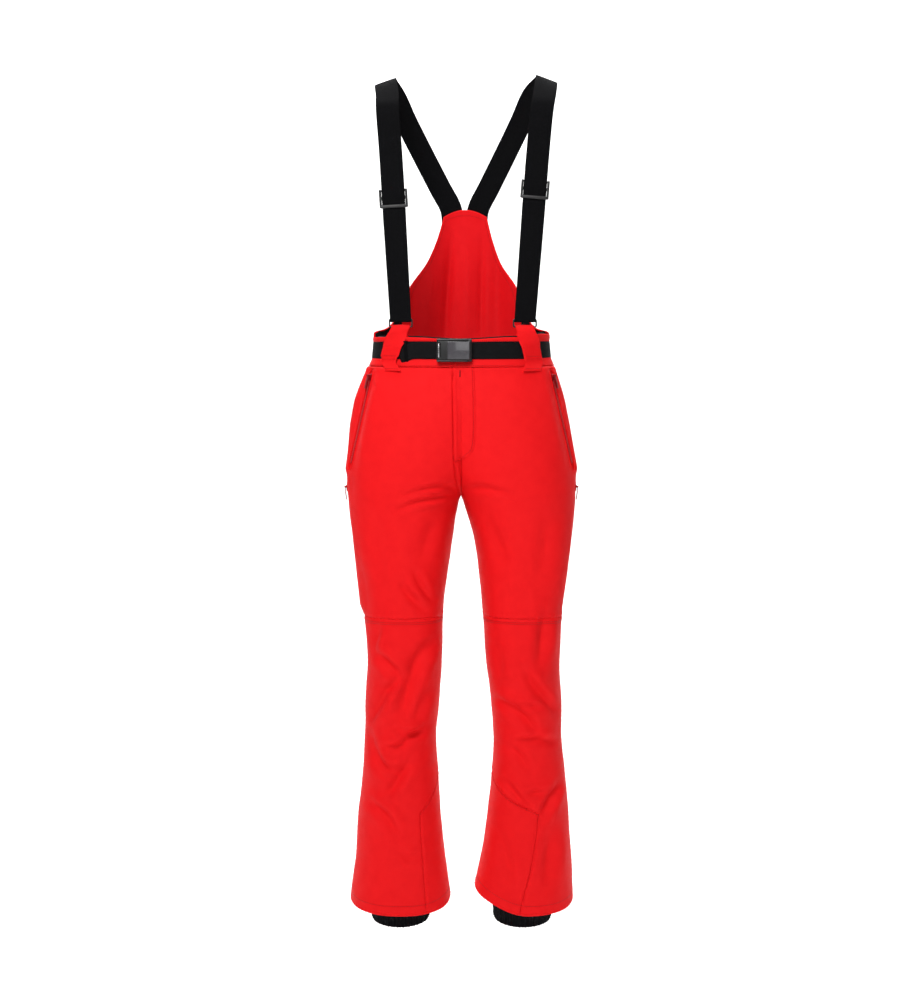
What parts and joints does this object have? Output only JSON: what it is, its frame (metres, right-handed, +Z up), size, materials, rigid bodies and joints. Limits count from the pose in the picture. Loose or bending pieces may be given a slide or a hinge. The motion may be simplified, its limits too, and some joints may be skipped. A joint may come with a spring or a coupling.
{
  "type": "ski pants",
  "caption": "Ski pants with a raised back bib, elastic suspenders, a buckled webbing belt, zipped pockets and vents, and boot gaiters inside the hems.",
  "frame": {"origin": "centre of the waist opening at the belt's centre line", "axes": "+Z up, the wearer faces -Y, +X is the wearer's left"},
  "size_m": [0.425, 0.2537, 1.5387],
  "materials": {
    "shell_red": "matte",
    "lining_black": "matte",
    "elastic_black": "matte",
    "belt_webbing": "satin",
    "plastic_black": "satin",
    "wire_black": "gloss",
    "steel_pin": "polished",
    "plate_gloss": "gloss",
    "zip_tape": "matte",
    "zip_metal": "satin",
    "pocket_lining": "matte",
    "mesh_dark": "matte",
    "gaiter_black": "satin"
  },
  "bodies": {
    "garment": {"front_panel_left": "shell_red", "front_panel_right": "shell_red", "shin_panel_left": "shell_red", "shin_panel_right": "shell_red", "back_panel_left": "shell_red", "back_panel_right": "shell_red", "edge_guard_left": "shell_red", "edge_guard_right": "shell_red", "fly_flap": "shell_red", "waistband": "shell_red", "waistband_lining": "lining_black", "back_bib": "shell_red", "bib_lining": "shell_red", "suspender_left": "elastic_black", "suspender_right": "elastic_black", "strap_return_left": "elastic_black", "strap_return_right": "elastic_black", "strap_ring_left": "wire_black", "strap_ring_right": "wire_black", "suspender_loop_left": "shell_red", "suspender_loop_right": "shell_red", "belt": "belt_webbing", "belt_tail": "belt_webbing", "belt_keeper": "elastic_black", "belt_loop_back_left": "shell_red", "belt_loop_back_right": "shell_red", "buckle_frame": "plastic_black", "buckle_pin": "steel_pin", "waist_snap_cap": "steel_pin", "waist_snap_stud": "steel_pin", "fly_shield": "lining_black", "fly_zip": "zip_tape", "pocket_zip_left": "zip_tape", "pocket_zip_right": "zip_tape", "vent_zip_left": "zip_tape", "vent_zip_right": "zip_tape", "pocket_bag_left": "pocket_lining", "pocket_bag_right": "pocket_lining", "vent_mesh_left": "mesh_dark", "vent_mesh_right": "mesh_dark", "gaiter_left": "gaiter_black", "gaiter_right": "gaiter_black", "gaiter_elastic_left": "elastic_black", "gaiter_elastic_right": "elastic_black"},
    "adjuster_body_left": {"adjuster_left": "plastic_black"},
    "adjuster_body_right": {"adjuster_right": "plastic_black"},
    "lever": {"buckle_lever": "plastic_black", "buckle_plate": "plate_gloss"},
    "fly_slider_body": {"fly_slider": "zip_metal"},
    "fly_pull_body": {"fly_pull": "zip_metal"},
    "pocket_slider_body_left": {"pocket_slider_left": "zip_metal"},
    "pocket_slider_body_right": {"pocket_slider_right": "zip_metal"},
    "pocket_pull_body_left": {"pocket_pull_left": "zip_metal"},
    "pocket_pull_body_right": {"pocket_pull_right": "zip_metal"},
    "vent_slider_body_left": {"vent_slider_left": "zip_metal"},
    "vent_slider_body_right": {"vent_slider_right": "zip_metal"},
    "vent_pull_body_left": {"vent_pull_left": "zip_metal"},
    "vent_pull_body_right": {"vent_pull_right": "zip_metal"}
  },
  "joints": [
    {"name": "buckle_lever_flip", "type": "hinge", "parent": "garment", "child": "lever", "pos_m": [-0.04, -0.11338, -0.01192], "axis": [0, 0.1045, -0.9945], "range_deg": [0, 105]},
    {"name": "fly_zip_slide", "type": "slide", "parent": "garment", "child": "fly_slider_body", "axis": [0, 0.0308, -0.9995], "range_m": [0, 0.114]},
    {"name": "fly_pull_swing", "type": "hinge", "parent": "fly_slider_body", "child": "fly_pull_body", "pos_m": [0.004, -0.09476, -0.04465], "axis": [-1, 0, 0], "range_deg": [0, 12]},
    {"name": "pocket_zip_slide_left", "type": "slide", "parent": "garment", "child": "pocket_slider_body_left", "axis": [0.2242, 0.0233, -0.9743], "range_m": [0, 0.148]},
    {"name": "pocket_pull_swing_left", "type": "hinge", "parent": "pocket_slider_body_left", "child": "pocket_pull_body_left", "pos_m": [0.1667, -0.05021, -0.04848], "axis": [-0.4672, -0.8748, -0.1284], "range_deg": [0, 165]},
    {"name": "vent_zip_slide_left", "type": "slide", "parent": "garment", "child": "vent_slider_body_left", "axis": [-0.1089, 0, -0.9941], "range_m": [0, 0.195]},
    {"name": "vent_pull_swing_left", "type": "hinge", "parent": "vent_slider_body_left", "child": "vent_pull_body_left", "pos_m": [0.21037, -0.01534, -0.24701], "axis": [-0.0698, -0.9975, 0.0076], "range_deg": [0, 165]},
    {"name": "adjuster_slide_left", "type": "slide", "parent": "garment", "child": "adjuster_body_left", "axis": [0.0757, -0.0203, 0.9969], "range_m": [-0.18, 0.08], "deforming": ["strap_return_left"]},
    {"name": "pocket_zip_slide_right", "type": "slide", "parent": "garment", "child": "pocket_slider_body_right", "axis": [-0.2242, 0.0233, -0.9743], "range_m": [0, 0.148]},
    {"name": "pocket_pull_swing_right", "type": "hinge", "parent": "pocket_slider_body_right", "child": "pocket_pull_body_right", "pos_m": [-0.1667, -0.05021, -0.04848], "axis": [-0.4672, 0.8748, 0.1284], "range_deg": [0, 165]},
    {"name": "vent_zip_slide_right", "type": "slide", "parent": "garment", "child": "vent_slider_body_right", "axis": [0.1089, 0, -0.9941], "range_m": [0, 0.195]},
    {"name": "vent_pull_swing_right", "type": "hinge", "parent": "vent_slider_body_right", "child": "vent_pull_body_right", "pos_m": [-0.21037, -0.01534, -0.24701], "axis": [-0.0698, 0.9975, -0.0076], "range_deg": [0, 165]},
    {"name": "adjuster_slide_right", "type": "slide", "parent": "garment", "child": "adjuster_body_right", "axis": [-0.0589, -0.0129, 0.9982], "range_m": [-0.18, 0.08], "deforming": ["strap_return_right"]}
  ]
}
